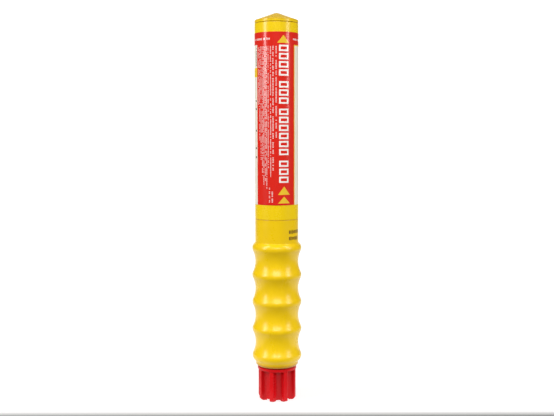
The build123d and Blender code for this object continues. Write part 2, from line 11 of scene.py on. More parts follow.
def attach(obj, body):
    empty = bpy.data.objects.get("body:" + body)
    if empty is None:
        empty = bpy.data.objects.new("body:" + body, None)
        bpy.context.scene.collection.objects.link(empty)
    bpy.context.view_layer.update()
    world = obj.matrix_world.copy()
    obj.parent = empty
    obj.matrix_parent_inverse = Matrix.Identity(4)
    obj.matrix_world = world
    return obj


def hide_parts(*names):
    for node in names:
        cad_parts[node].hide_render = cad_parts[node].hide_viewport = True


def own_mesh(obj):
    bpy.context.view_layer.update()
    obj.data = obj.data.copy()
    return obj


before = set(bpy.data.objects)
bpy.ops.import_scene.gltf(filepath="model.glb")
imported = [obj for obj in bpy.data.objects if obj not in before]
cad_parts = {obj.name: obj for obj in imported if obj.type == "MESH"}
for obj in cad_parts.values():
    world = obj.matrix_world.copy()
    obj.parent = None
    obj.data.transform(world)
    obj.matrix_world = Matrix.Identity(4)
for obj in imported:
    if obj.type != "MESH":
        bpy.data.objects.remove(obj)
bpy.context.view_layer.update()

MM = 0.001
AXIS = (0, 0, 1)
CENTRE = (0, 0, 0)

# Launch tube and its printed wrap
TUBE_R = 17.0
TUBE_BORE_R = 14.2
TUBE_TOP_Z = 294.3
SHANK_R = 15.6
SHANK_LOW_Z = 78.0
SEAM_Z = 143.8
SOCKET_R = 15.6
SOCKET_LOW_Z = 287.6
WRAP_R = 17.08
WRAP_LOW_Z = 155.4
WRAP_TOP_Z = 286.7
WRAP_THICKNESS = 0.08

# Grip
RIB_R = 19.35
GROOVE_R = 16.9
RIB_COUNT = 5
RIB_PITCH = 21.4
LOWEST_RIB_Z = 35.3
RIB_TIP_ROUND = 5.0
COLLAR_R = 16.95
GRIP_END_R = 16.25
GRIP_END_Z = 27.5
GRIP_BORE_R = 15.65
WEB_LOW_Z = 36.0
WEB_TOP_Z = 40.0
BUSH_BORE_R = 4.65
SEAL_GROOVE_R = 17.3
NECK_ROOT_R = 12.4
NECK_CREST_R = 11.45
THREAD_LEAD = 8.0
LAND_LOW_Z = 29.0
LAND_TURN = 250.0
LAND_START = -63.0

# Nose cap
NOSE_TIP_Z = 302.6
NOSE_TIP_ROUND = 6.5
NOSE_SLOPE = math.tan(math.radians(20))
NOSE_RIM_R = 16.95
NOSE_RIM_LOW_Z = 294.5
NOSE_SKIRT_R = 15.3
NOSE_SKIRT_BORE_R = 12.6
NOSE_SKIRT_LOW_Z = 288.4
NOSE_WALL = 1.8

# Striker, rocket and payload
ROCKET_R = 13.9
MOTOR_BORE_R = 12.7
CANISTER_BORE_R = 13.0
PAYLOAD_R = 12.7
CANDLE_TOP_Z = 226.0
EYE_Z = 233.4
BUNDLE_LOW_Z = 239.0
BUNDLE_TOP_Z = 280.0
BUNDLE_WAISTS = (252.67, 266.33)
SPRING_COIL_R = 4.9
SPRING_WIRE_R = 0.5
SPRING_LOW_Z = 43.6
SPRING_TOP_Z = 59.4
SPRING_TURNS = 6
BALL_R = 2.05
BALL_Z = 62.3
BALL_CENTRE_R = 4.4
BALL_COUNT = 3


def srgb(red, green, blue):
    """Linear RGBA of a colour given as display values from 0 to 255."""
    linear = []
    for share in (red / 255, green / 255, blue / 255):
        linear.append(((share + 0.055) / 1.055) ** 2.4 if share > 0.04045 else share / 12.92)
    return (*linear, 1)


def grey(level):
    """Linear RGBA of a grey."""
    return (level, level, level, 1)


def tinted(colour, factor, lift=0.0):
    """A colour with its channels scaled and lifted, kept within 1."""
    return (*(min(1, channel * factor + lift) for channel in colour[:3]), 1)


# Shader maths

def link(socket, value):
    """Set a socket to a plain value, or link a signal to it."""
    if isinstance(value, Signal):
        socket.id_data.links.new(value.socket, socket)
    else:
        socket.default_value = value


class Signal:
    """A shader socket; arithmetic on it adds Math nodes to its tree."""

    def __init__(self, socket):
        self.socket = socket

    def node(self, kind, settings, sockets, output=0):
        """Add any other node: its settings first, then the values or links of its sockets."""
        made = self.socket.id_data.nodes.new("ShaderNode" + kind)
        for name, value in settings.items():
            if name == "stops":
                set_stops(made.color_ramp, value)
            else:
                setattr(made, name, value)
        for name, value in sockets.items():
            link(made.inputs[name], value)
        return Signal(made.outputs[output])

    def math(self, operation, *others):
        return self.node("Math", {"operation": operation}, dict(enumerate((self, *others))))

    def __add__(self, other):
        return self.math("ADD", other)

    def __sub__(self, other):
        return self.math("SUBTRACT", other)

    def __rsub__(self, other):
        return self.node("Math", {"operation": "SUBTRACT"}, {0: other, 1: self})

    def __mul__(self, other):
        return self.math("MULTIPLY", other)

    def __truediv__(self, other):
        return self.math("DIVIDE", other)

    def __gt__(self, other):
        return self.math("GREATER_THAN", other)

    def __lt__(self, other):
        return self.math("LESS_THAN", other)

    def __or__(self, other):
        return self.math("MAXIMUM", other)

    def __and__(self, other):
        return self.math("MINIMUM", other)

    def __abs__(self):
        return self.math("ABSOLUTE")

    __radd__ = __add__
    __rmul__ = __mul__


def set_stops(ramp, stops):
    """Give a colour ramp its (position, colour) stops."""
    while len(ramp.elements) < len(stops):
        ramp.elements.new(1.0)
    for element, (position, colour) in zip(ramp.elements, stops):
        element.position = position
        element.color = colour


def between(value, low, high):
    """1 where a signal lies between two bounds."""
    return (value > low) & (value < high)


def clamp(value, top):
    """A signal kept between 0 and a top value."""
    return (value | 0.0) & top


def either(masks):
    """1 where any of several masks is."""
    first, *others = masks
    for mask in others:
        first = first | mask
    return first


def mix(share, first, second):
    """Blend two colours by a signal."""
    return share.node("Mix", {"data_type": "RGBA"}, {0: share, 6: first, 7: second}, output=2)


class Finish:
    """One material: fixed shader values, and the piece's position in millimetres as signals."""

    def __init__(self, name, colour, roughness, **fixed):
        self.material = bpy.data.materials.new(name)
        self.material.use_nodes = True
        tree = self.material.node_tree
        self.shader = tree.nodes["Principled BSDF"]
        self.shader.inputs["Base Color"].default_value = colour
        self.shader.inputs["Roughness"].default_value = roughness
        for words, value in fixed.items():
            name_words = words.replace("_", " ").title().replace("Ior", "IOR")
            self.shader.inputs[name_words].default_value = value
        start = Signal(tree.nodes.new("ShaderNodeTexCoord").outputs["Object"])
        self.place = start.node("VectorMath", {"operation": "SCALE"}, {0: start, "Scale": 1 / MM})
        split = self.place.node("SeparateXYZ", {}, {0: self.place}).socket.node
        self.x, self.y, self.z = (Signal(socket) for socket in split.outputs)

    def radius(self):
        """Distance from the axis."""
        return (self.x * self.x + self.y * self.y).math("SQRT")

    def turn(self):
        """Angle round the axis from the front, growing to the right, in radians."""
        return self.x.math("ARCTAN2", self.y * -1)

    def noise(self, size, detail=2.0, squeeze=(1, 1, 1)):
        """Soft noise from 0 to 1 with features of about size mm; squeeze scales each axis."""
        scales = [axis / size for axis in squeeze]
        where = self.place.node("VectorMath", {"operation": "MULTIPLY"}, {0: self.place, 1: scales})
        return where.node("TexNoise", {}, {"Vector": where, "Scale": 1.0, "Detail": detail})

    def put(self, socket, value):
        """Feed one of the shader's varying sockets."""
        link(self.shader.inputs[socket], value)

    def bump(self, height, depth):
        """Let a height signal shape the normal; depth is in millimetres."""
        self.put("Normal", height.node("Bump", {}, {"Height": height, "Distance": depth * MM}))


WHITE_INK = srgb(255, 253, 250)
RED_INK = srgb(226, 34, 20)
YELLOW_INK = srgb(246, 205, 50)
DARK_INK = srgb(60, 45, 40)
STAMP_INK = srgb(96, 62, 20)
# Colour of painted shade, put in the gaps between mouldings and at the grip's lower end
PAINTED_SHADE = srgb(178, 112, 14)
PARTING_TURN = math.radians(42)


def dashes(along, across, centre, height, low, high, pitch, seed):
    """Mask of one broken line of print: runs of short marks with gaps, standing in for words."""
    step = (along - low) / pitch
    cell = step.math("FLOOR")
    share = step - cell
    word = cell.node("TexWhiteNoise", {"noise_dimensions": "1D"}, {"W": cell * 1.37 + seed})
    tall = (word * 0.4 + 0.6) * (height / 2)
    marks = between(share, 0.14, 0.86) & (word > 0.2)
    return marks & between(along, low, high) & (abs(across - centre) < tall)


def triangle(along, across, apex, base, centre, half_width):
    """Mask of a triangle that points along one signal."""
    width = (apex - along) * (half_width / (apex - base))
    return (along > base) & (abs(across - centre) < width)


def box_mask(along, across, low, high, left, right):
    """Mask of a rectangle."""
    return between(along, low, high) & between(across, left, right)


# Moulded plastics

class Moulded(Finish):
    """Injection-moulded gloss plastic: a little colour drift, fine grain and rubbed patches."""

    def __init__(self, name, bright, deep, roughness, specular=0.5):
        super().__init__(name, bright, roughness, specular_ior_level=specular)
        self.colour = mix(self.noise(38.0, 3.0), bright, deep)
        self.rubbed = self.noise(7.0, 4.0, (1, 1, 0.35))
        self.fine = self.noise(0.9, 2.0)
        self.put("Roughness", self.rubbed * 0.10 + self.fine * 0.06 + (roughness - 0.08))

    def mould_grain(self):
        """Shape the surface with the mould's fine grain and rubbed patches."""
        self.bump(self.fine * 0.5 + self.rubbed * 0.5, 0.02)


def gap_shade_mask(z, height):
    """Mask of a soft line of painted shade in the gap where two mouldings meet at a height."""
    return clamp((0.55 - abs(z - height)) / 0.4, 0.35)


def tube_yellow():
    """The tube's and the nose cap's plastic, with painted shade on the cap's conical top and at the
    two joints.
    """
    made = Moulded("tube_yellow", srgb(250, 216, 6), srgb(246, 209, 4), 0.27)
    # Painted shade: the cap's conical top above its rim is darkened towards a deeper orange
    painted_cone_shade = clamp((made.z - NOSE_RIM_LOW_Z - 1.0) / 1.2, 0.6)
    shade = mix(painted_cone_shade, made.colour, srgb(206, 160, 0))
    # Painted shade lines in the gaps at the grip seam and at the nose cap's rim
    lines = gap_shade_mask(made.z, SEAM_Z) | gap_shade_mask(made.z, NOSE_RIM_LOW_Z)
    made.put("Base Color", mix(lines, shade, PAINTED_SHADE))
    made.mould_grain()
    return made


def grip_yellow():
    """The grip's plastic: two rows of plain stamped marks, painted shade at its lower end and at
    the seam, and a parting line.
    """
    made = Moulded("grip_yellow", srgb(248, 210, 0), srgb(244, 202, 0), 0.29)
    turn = made.turn()
    marks = either(
        dashes(turn * COLLAR_R, made.z, height, 3.0, 9.8, 33.0, 1.35, 3.1 + row)
        for row, height in enumerate((134.5, 129.5))
    )
    outside = made.radius() > GRIP_BORE_R + 1
    # Painted shade: the grip darkens over its last few millimetres towards its lower end, and along
    # the seam
    painted_mouth_shade = clamp((GRIP_END_Z + 3.4 - made.z) / 3.0, 0.8)
    shade = mix(painted_mouth_shade | gap_shade_mask(made.z, SEAM_Z), made.colour, PAINTED_SHADE)
    made.put("Base Color", mix(marks & outside, shade, STAMP_INK))
    from_parting = abs(turn - PARTING_TURN) & abs(turn - PARTING_TURN + math.pi)
    made.bump((from_parting < 0.006) * 0.8 + made.fine * 0.5, 0.03)
    return made


def cap_red():
    """The base cap's duller red plastic."""
    made = Moulded("cap_red", srgb(208, 18, 24), srgb(198, 13, 22), 0.28, specular=0.2)
    made.put("Base Color", made.colour)
    made.mould_grain()
    return made


# Printed wrap

WRAP_ROUND = 2 * math.pi * WRAP_R
RED_LEFT = -17.7
RED_RIGHT = 15.2
RED_BAND_Z = 277.4
PANEL_LOW_Z = 160.0
PANEL_HEIGHT = 29.0
PANEL_COUNT = 4


def big_blocks(arc, z):
    """Four groups of plain open boxes along the wrap, in the place of large lettering."""
    groups = ((276.8, 4), (249.6, 3), (229.0, 6), (189.6, 3))
    pitch, wide, stroke = 6.1, 4.7, 1.25
    left, right = 1.9, 9.5
    masks = []
    for top, count in groups:
        step = (top - z) / pitch
        inner = (step - step.math("FLOOR")) * pitch
        box = box_mask(inner, arc, 0.0, wide, left, right)
        hole = box_mask(inner, arc, stroke, wide - stroke, left + stroke, right - stroke)
        masks.append(box & (1 - hole) & between(z, top - count * pitch, top))
    return either(masks)


def small_columns(arc, z):
    """Columns of fine white marks that run up the wrap beside the blocks."""
    # Centre round the wrap, height of the marks, low end, high end, pitch
    columns = (
        (-15.9, 0.8, 232.0, 275.5, 0.8),
        (-14.5, 0.8, 204.0, 275.5, 0.8),
        (-13.1, 0.8, 190.0, 276.0, 0.8),
        (-11.7, 0.8, 178.0, 276.0, 0.75),
        (-10.4, 0.8, 171.0, 276.0, 0.75),
        (-9.1, 0.8, 174.0, 276.0, 0.75),
        (-7.8, 0.8, 168.0, 276.0, 0.75),
        (-6.5, 0.8, 184.0, 276.0, 0.75),
        (-4.6, 0.9, 176.0, 276.0, 1.0),
        (-2.7, 1.1, 182.0, 276.0, 1.15),
        (-0.3, 1.1, 207.0, 276.0, 1.15),
        (-5.6, 1.2, 157.5, 169.0, 1.1),
        (-3.4, 1.2, 157.5, 166.0, 1.1),
    )
    return either(
        dashes(z, arc, *column, seed * 2.3)
        for seed, column in enumerate(columns)
    )


def printed_film():
    """Gloss film printed in red, cream and yellow, with open boxes and dashes for lettering."""
    made = Finish("printed_film", RED_INK, 0.26, specular_ior_level=0.6)
    z = made.z
    arc = made.turn() * WRAP_R
    back = (arc - RED_RIGHT).math("WRAP", WRAP_ROUND, 0.0)

    red = (z > RED_BAND_Z) | between(arc, RED_LEFT, RED_RIGHT)
    white = either((
        big_blocks(arc, z),
        small_columns(arc, z) * 0.62,
        dashes(arc, z, 281.4, 1.7, -22.0, -5.0, 1.0, 40.0) * 0.75,
        dashes(arc, z, 281.4, 1.7, 14.0, 30.0, 1.0, 44.0) * 0.75,
    ))

    # Back panels: plain frames with a spot in each, and lines of dashes beside them
    tier = (z - PANEL_LOW_Z) / PANEL_HEIGHT
    inner = (tier - tier.math("FLOOR")) * PANEL_HEIGHT
    inside = between(z, PANEL_LOW_Z, PANEL_LOW_Z + PANEL_COUNT * PANEL_HEIGHT)
    border = box_mask(inner, back, 3.0, 24.0, 14.0, 35.0)
    border = border & (1 - box_mask(inner, back, 3.6, 23.4, 14.6, 34.4))
    spot = ((inner - 13.5) * (inner - 13.5) + (back - 24.5) * (back - 24.5)).math("SQRT")
    lines = [border, between(spot, 6.2, 6.9)]
    for row in range(7):
        middle, end = 5.0 + row * 2.8, 60.0 - 3.0 * (row % 3)
        lines.append(dashes(back, inner, middle, 1.5, 38.0, end, 1.15, 50.0 + row))
    dark = [either(lines) & inside, dashes(z, arc, RED_LEFT - 1.2, 1.3, 261.5, 275.5, 1.15, 70.0)]
    for height in (235.0, 229.0, 212.5, 199.0, 192.0):
        low, high = height - 0.7, height + 0.7
        dark.append(box_mask(z, arc, low, high, RED_LEFT - 2.6, RED_LEFT - 1.0))
    yellow = either((
        triangle(z, arc, 284.2, 278.3, 5.4, 4.8),
        triangle(z, arc, 169.9, 163.5, 5.8, 4.8),
        triangle(z, arc, 162.1, 156.9, 5.8, 4.8),
        box_mask(z, back, WRAP_LOW_Z, RED_BAND_Z, 0.0, 0.8),
        box_mask(z, back, RED_BAND_Z - 0.8, RED_BAND_Z, 0.0, 12.0),
        box_mask(z, arc, 253.2, 260.2, RED_LEFT - 7.0, RED_LEFT),
        (spot < 6.2) & inside,
    ))

    paper = mix(made.noise(30.0, 2.0), srgb(252, 247, 234), srgb(247, 240, 222))
    ground = mix(red, mix(either(dark), paper, DARK_INK), RED_INK)
    colour = mix(yellow, ground, YELLOW_INK)
    colour = mix(white & red, colour, WHITE_INK)
    made.put("Base Color", colour)
    ripple = made.noise(9.0, 2.0, (1, 1, 0.4))
    made.put("Roughness", ripple * 0.08 + 0.19)
    made.bump(ripple, 0.03)
    return made


# Rubbers, metals and soft goods

def grained(name, colour, roughness, grain, depth, spread=0.12, **fixed):
    """Plain solid with a fine random grain in colour, gloss and relief."""
    made = Finish(name, colour, roughness, **fixed)
    fine = made.noise(grain, 3.0)
    made.put("Base Color", mix(fine, tinted(colour, 1 - spread * 2), colour))
    made.put("Roughness", fine * 0.12 + (roughness - 0.06))
    made.bump(fine, depth)
    return made


def machined(name, colour, roughness, ridge=0.18, wear=0.08):
    """Turned metal: rings from the cutting tool, faint stains and smoother rubbed spots."""
    made = Finish(name, colour, roughness, metallic=1.0)
    rings = (made.z + made.radius()) / ridge
    sockets = {"W": rings, "Scale": 1.0, "Detail": 2.0}
    cut = rings.node("TexNoise", {"noise_dimensions": "1D"}, sockets)
    stain = made.noise(4.0, 3.0)
    made.put("Base Color", mix(stain, tinted(colour, 0.86), colour))
    made.put("Roughness", cut * wear + stain * wear + (roughness - wear))
    made.bump(cut, 0.006)
    return made


def lacquered(name, colour, roughness):
    """Lacquered steel with light rubbing along the length."""
    made = Finish(name, colour, roughness, coat_weight=0.3, coat_roughness=0.25)
    streak = made.noise(1.2, 3.0, (1, 1, 0.06))
    patch = made.noise(14.0, 3.0)
    rubbed = clamp(((streak * 0.6 + patch * 0.4) - 0.56) * 9.0, 0.6)
    made.put("Base Color", mix(rubbed, colour, tinted(colour, 1.7, 0.05)))
    made.put("Roughness", patch * 0.15 + (roughness - 0.07))
    made.bump(made.noise(0.8, 2.0), 0.01)
    return made


def cork():
    """Granulated cork: packed grains of several browns with dark joints."""
    made = Finish("cork", srgb(190, 140, 95), 0.85)
    sockets = {"Vector": made.place, "Scale": 1.1}
    grains = made.place.node("TexVoronoi", {"feature": "F1"}, sockets, output=1)
    edge = made.place.node("TexVoronoi", {"feature": "DISTANCE_TO_EDGE"}, sockets)
    tone = grains.node("SeparateColor", {}, {0: grains})
    stops = ((0.0, srgb(150, 102, 64)), (0.5, srgb(192, 143, 96)), (1.0, srgb(214, 170, 122)))
    browns = tone.node("ValToRGB", {"stops": stops}, {0: tone})
    made.put("Base Color", mix((edge < 0.06) * 0.7, browns, srgb(84, 54, 34)))
    made.bump((edge * 6) & 1.0, 0.12)
    return made


def felt():
    """Pressed wool felt: short fibres in every direction."""
    made = Finish("felt", srgb(176, 170, 156), 0.95, sheen_weight=0.4)
    fibres = made.noise(0.35, 6.0, (1, 1, 2.5))
    clumps = made.noise(2.2, 3.0)
    tone = fibres * 0.7 + clumps * 0.3
    made.put("Base Color", mix(tone, srgb(138, 132, 120), srgb(206, 200, 186)))
    made.bump(fibres, 0.16)
    return made


def foam():
    """Closed-cell foam with small round cells."""
    made = Finish("foam", srgb(214, 213, 208), 0.9)
    cells = made.place.node("TexVoronoi", {"feature": "F1"}, {"Vector": made.place, "Scale": 2.2})
    made.put("Base Color", mix(cells, srgb(186, 185, 180), srgb(228, 227, 222)))
    made.bump(1 - cells, 0.2)
    return made


def parachute_cloth():
    """Thin orange nylon with a ripstop grid that follows the bundle's side and its ends."""
    made = Finish("parachute_cloth", srgb(226, 108, 28), 0.55, sheen_weight=0.3)
    across = made.turn() * (PAYLOAD_R / 2)
    along = made.z + made.radius()
    thread = (across * 16.0).math("SINE") * (along * 16.0).math("SINE")
    grid = ((across * 0.5).math("FRACT") < 0.1) | ((along * 0.25).math("FRACT") < 0.1)
    fold = made.noise(6.0, 3.0)
    made.put("Base Color", mix(fold * 0.6 + grid * 0.3, srgb(214, 92, 20), srgb(240, 134, 44)))
    made.put("Roughness", fold * 0.15 + 0.48)
    made.bump(thread * 0.3 + grid, 0.05)
    return made


def elastic():
    """Flat woven elastic band."""
    made = Finish("elastic", srgb(206, 196, 172), 0.8)
    ribs = (made.z * 12.0).math("SINE") * 0.5 + 0.5
    weave = (made.turn() * 160.0).math("SINE") * 0.5 + 0.5
    tone = ribs * 0.5 + weave * 0.5
    made.put("Base Color", mix(tone, srgb(172, 162, 140), srgb(220, 212, 190)))
    made.bump(ribs * 0.6 + weave * 0.4, 0.06)
    return made


FINISHES = {
    "tube_yellow": tube_yellow(),
    "grip_yellow": grip_yellow(),
    "cap_red": cap_red(),
    "printed_film": printed_film(),
    "black_rubber": grained("black_rubber", srgb(38, 37, 37), 0.6, 0.5, 0.02),
    "black_plastic": grained("black_plastic", srgb(46, 46, 49), 0.42, 0.35, 0.02, coat_weight=0.15),
    "white_plastic": grained("white_plastic", srgb(226, 225, 219), 0.4, 1.5, 0.02, spread=0.03),
    "aluminium": machined("aluminium", srgb(205, 207, 211), 0.34),
    "steel": machined("steel", srgb(176, 178, 182), 0.36),
    "bright_steel": machined("bright_steel", srgb(212, 214, 218), 0.12, wear=0.03),
    "brass": machined("brass", srgb(204, 164, 92), 0.3),
    "painted_steel": lacquered("painted_steel", srgb(104, 110, 104), 0.42),
    "nozzle_composite": grained("nozzle_composite", srgb(72, 56, 46), 0.6, 0.8, 0.06),
    "foil": machined("foil", srgb(214, 214, 216), 0.28, ridge=0.6),
    "charge_grey": grained("charge_grey", srgb(78, 78, 80), 0.75, 1.2, 0.08),
    "candle_red": grained("candle_red", srgb(150, 52, 40), 0.8, 1.2, 0.08),
    "cork": cork(),
    "felt": felt(),
    "foam": foam(),
    "parachute_cloth": parachute_cloth(),
    "elastic": elastic(),
}


# Meshes

ROUND_STEPS = 5
HOLD = 0.25
FLAT_ANGLE = 0.4
SHARP_ANGLE = 30


def rounded(corners):
    """Closed outline from (radius, height, corner round) triples, each round made an arc.

    A holding point on each side of an arc keeps the flat next to it flat when shaded smooth.
    """
    count = len(corners)
    places = [Vector(corner[:2]) for corner in corners]
    reaches = []
    for index, (here, corner) in enumerate(zip(places, corners)):
        to_last = places[index - 1] - here
        to_next = places[(index + 1) % count] - here
        reaches.append(corner[2] / math.tan(to_last.angle(to_next) / 2) if corner[2] else 0)
    points = []
    for index, here in enumerate(places):
        corner_round = corners[index][2]
        if not corner_round:
            points.append(here)
            continue
        reach = reaches[index]
        sides = []
        for other in (index - 1, (index + 1) % count):
            line = places[other] - here
            spare = line.length - reach - reaches[other]
            sides.append((line.normalized(), min(HOLD, spare * 0.4)))
        (to_last, hold_last), (to_next, hold_next) = sides
        half = to_last.angle(to_next) / 2
        centre = here + (to_last + to_next).normalized() * (corner_round / math.sin(half))
        first = here + to_last * reach - centre
        sweep = first.angle_signed(here + to_next * reach - centre)
        if hold_last > 0.02:
            points.append(here + to_last * (reach + hold_last))
        for step in range(ROUND_STEPS + 1):
            angle = -sweep * step / ROUND_STEPS
            turned_x = first.x * math.cos(angle) - first.y * math.sin(angle)
            turned_y = first.x * math.sin(angle) + first.y * math.cos(angle)
            points.append(centre + Vector((turned_x, turned_y)))
        if hold_next > 0.02:
            points.append(here + to_next * (reach + hold_next))
    return points


def arc_points(centre, radius, start, end, steps):
    """Points of an arc in the outline plane; angles in degrees."""
    points = []
    for step in range(steps + 1):
        angle = math.radians(start + (end - start) * step / steps)
        out, up = radius * math.cos(angle), radius * math.sin(angle)
        points.append(Vector((centre[0] + out, centre[1] + up)))
    return points


def only(kind, parts):
    """The parts of one kind in a mixed list of a mesh's parts."""
    return [part for part in parts if isinstance(part, kind)]


def finish_mesh(mesh, name, slot, body, nodes, smooth_angle=35):
    """Make a bmesh a piece: its material, body, slot and the CAD nodes that it stands for."""
    bmesh.ops.remove_doubles(mesh, verts=mesh.verts, dist=1e-6)
    bmesh.ops.recalc_face_normals(mesh, faces=mesh.faces)
    data = bpy.data.meshes.new(name)
    mesh.to_mesh(data)
    mesh.free()
    data.materials.append(FINISHES[slot].material)
    data.shade_smooth()
    data.set_sharp_from_angle(angle=math.radians(smooth_angle))
    piece = bpy.data.objects.new(name, data)
    bpy.context.scene.collection.objects.link(piece)
    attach(piece, body)
    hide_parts(*nodes)
    return piece


def spun(outline, segments=144):
    """Spin a closed (radius, height) outline about the axis into a bmesh."""
    mesh = bmesh.new()
    points = [mesh.verts.new((max(radius, 0) * MM, 0, height * MM)) for radius, height in outline]
    edges = [mesh.edges.new((point, points[index - 1])) for index, point in enumerate(points)]
    on_axis = [edge for edge in edges if all(vert.co.x < 1e-9 for vert in edge.verts)]
    bmesh.ops.delete(mesh, geom=on_axis, context="EDGES_FACES")
    bmesh.ops.spin(
        mesh, geom=[*mesh.verts, *mesh.edges], cent=CENTRE, axis=AXIS, angle=math.tau,
        steps=segments, use_merge=True,
    )
    return mesh


def edges_bent(mesh, low=-1, high=181):
    """Edges whose two faces meet at an angle between two bounds, in degrees."""
    paired = [edge for edge in mesh.edges if edge.is_manifold]
    return [edge for edge in paired if low < math.degrees(edge.calc_face_angle(0)) < high]


def softened(node, width, slot, body):
    """Copy a CAD node's mesh, merge it, and break its sharp edges with a small round."""
    mesh = bmesh.new()
    mesh.from_mesh(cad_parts[node].data)
    bmesh.ops.remove_doubles(mesh, verts=mesh.verts, dist=2e-6)
    bmesh.ops.dissolve_edges(mesh, edges=edges_bent(mesh, high=FLAT_ANGLE), use_verts=False)
    bmesh.ops.bevel(
        mesh, geom=edges_bent(mesh, low=SHARP_ANGLE), offset=width * MM, offset_type="OFFSET",
        affect="EDGES", segments=2, profile=0.5, material=-1, clamp_overlap=True,
    )
    finish_mesh(mesh, node + "_shell", slot, body, [node])


# Outer shells

def launch_tube_shell():
    """Outer tube: bored through, with the shank inside the grip and the nose cap's socket."""
    outline = rounded((
        (TUBE_BORE_R, SHANK_LOW_Z, 0.4),
        (SHANK_R, SHANK_LOW_Z, 0.6),
        (SHANK_R, SEAM_Z, 0),
        (TUBE_R, SEAM_Z, 0.35),
        (TUBE_R, TUBE_TOP_Z, 0.4),
        (SOCKET_R, TUBE_TOP_Z, 0.3),
        (SOCKET_R, SOCKET_LOW_Z, 0),
        (TUBE_BORE_R, SOCKET_LOW_Z, 0.25),
    ))
    finish_mesh(spun(outline), "launch_tube_shell", "tube_yellow", "grip", ["launch_tube"])


def grip_outline():
    """Grip section: collar, five ribs with four finger grooves, tapered end, stepped bore."""
    half = RIB_PITCH / 2
    reach = GROOVE_R - RIB_R + RIB_TIP_ROUND
    scallop = (reach**2 + half**2 - RIB_TIP_ROUND**2) / (2 * (RIB_TIP_ROUND - reach))
    tip_centre_r = RIB_R - RIB_TIP_ROUND
    lean = math.degrees(math.atan2(half, GROOVE_R + scallop - tip_centre_r))
    top_rib_z = LOWEST_RIB_Z + (RIB_COUNT - 1) * RIB_PITCH
    flank_r = tip_centre_r + RIB_TIP_ROUND * math.sin(math.radians(45))
    flank = flank_r - tip_centre_r
    rise = flank_r - COLLAR_R
    points = rounded((
        (NECK_ROOT_R, GRIP_END_Z, 0.3),
        (NECK_ROOT_R, WEB_LOW_Z, 0.3),
        (BUSH_BORE_R, WEB_LOW_Z, 0),
        (BUSH_BORE_R, WEB_TOP_Z, 0),
        (GRIP_BORE_R, WEB_TOP_Z, 0.3),
        (GRIP_BORE_R, top_rib_z - 1, 0),
        (SEAL_GROOVE_R, top_rib_z - 1, 0),
        (SEAL_GROOVE_R, top_rib_z + 1, 0),
        (GRIP_BORE_R, top_rib_z + 1, 0),
        (GRIP_BORE_R, SEAM_Z, 0.15),
        (COLLAR_R, SEAM_Z, 0.35),
        (COLLAR_R, top_rib_z + flank + rise, 0.8),
        (flank_r, top_rib_z + flank, 0),
    ))
    for index in range(RIB_COUNT):
        rib_z = top_rib_z - index * RIB_PITCH
        first = 45 if index == 0 else lean
        last = -45 if index == RIB_COUNT - 1 else -lean
        points += arc_points((tip_centre_r, rib_z), RIB_TIP_ROUND, first, last, 14)[1:]
        if index < RIB_COUNT - 1:
            centre = (GROOVE_R + scallop, rib_z - half)
            points += arc_points(centre, scallop, 180 - lean, 180 + lean, 14)[1:]
    points += rounded((
        (flank_r, LOWEST_RIB_Z - flank, 0),
        (COLLAR_R, LOWEST_RIB_Z - flank - rise, 0.8),
        (GRIP_END_R + 0.4, GRIP_END_Z + 0.9, 0.4),
        (GRIP_END_R - 0.4, GRIP_END_Z, 0.3),
        (NECK_ROOT_R, GRIP_END_Z, 0),
    ))[1:-1]
    return points


def coil(mesh, outline, start, sweep, rise, steps):
    """Sweep a closed (radius, height) outline round the axis as a helix with closed ends.

    The start and the sweep are in degrees, and the rise in millimetres.
    """
    points = [mesh.verts.new((radius * MM, 0, height * MM)) for radius, height in outline]
    edges = [mesh.edges.new((point, points[index - 1])) for index, point in enumerate(points)]
    begin = Matrix.Rotation(math.radians(start), 3, "Z")
    bmesh.ops.rotate(mesh, verts=points, cent=CENTRE, matrix=begin)
    mesh.faces.new(points)
    swept = bmesh.ops.spin(
        mesh, geom=edges + points, cent=CENTRE, axis=AXIS, dvec=(0, 0, rise * MM / steps),
        angle=math.radians(sweep), steps=steps,
    )
    bmesh.ops.edgeloop_fill(mesh, edges=only(bmesh.types.BMEdge, swept["geom_last"]))


def grip_shell():
    """Grip body with the two helical lands of its neck thread."""
    mesh = spun(grip_outline(), 160)
    rise = THREAD_LEAD * LAND_TURN / 360
    for start in (LAND_START, LAND_START + 180):
        land = (
            (NECK_ROOT_R + 0.05, LAND_LOW_Z - 1.2),
            (NECK_CREST_R, LAND_LOW_Z - 0.8),
            (NECK_CREST_R, LAND_LOW_Z + 0.8),
            (NECK_ROOT_R + 0.05, LAND_LOW_Z + 1.2),
        )
        coil(mesh, land, start, LAND_TURN, rise, 72)
    finish_mesh(mesh, "grip_shell", "grip_yellow", "grip", ["grip_handle"])


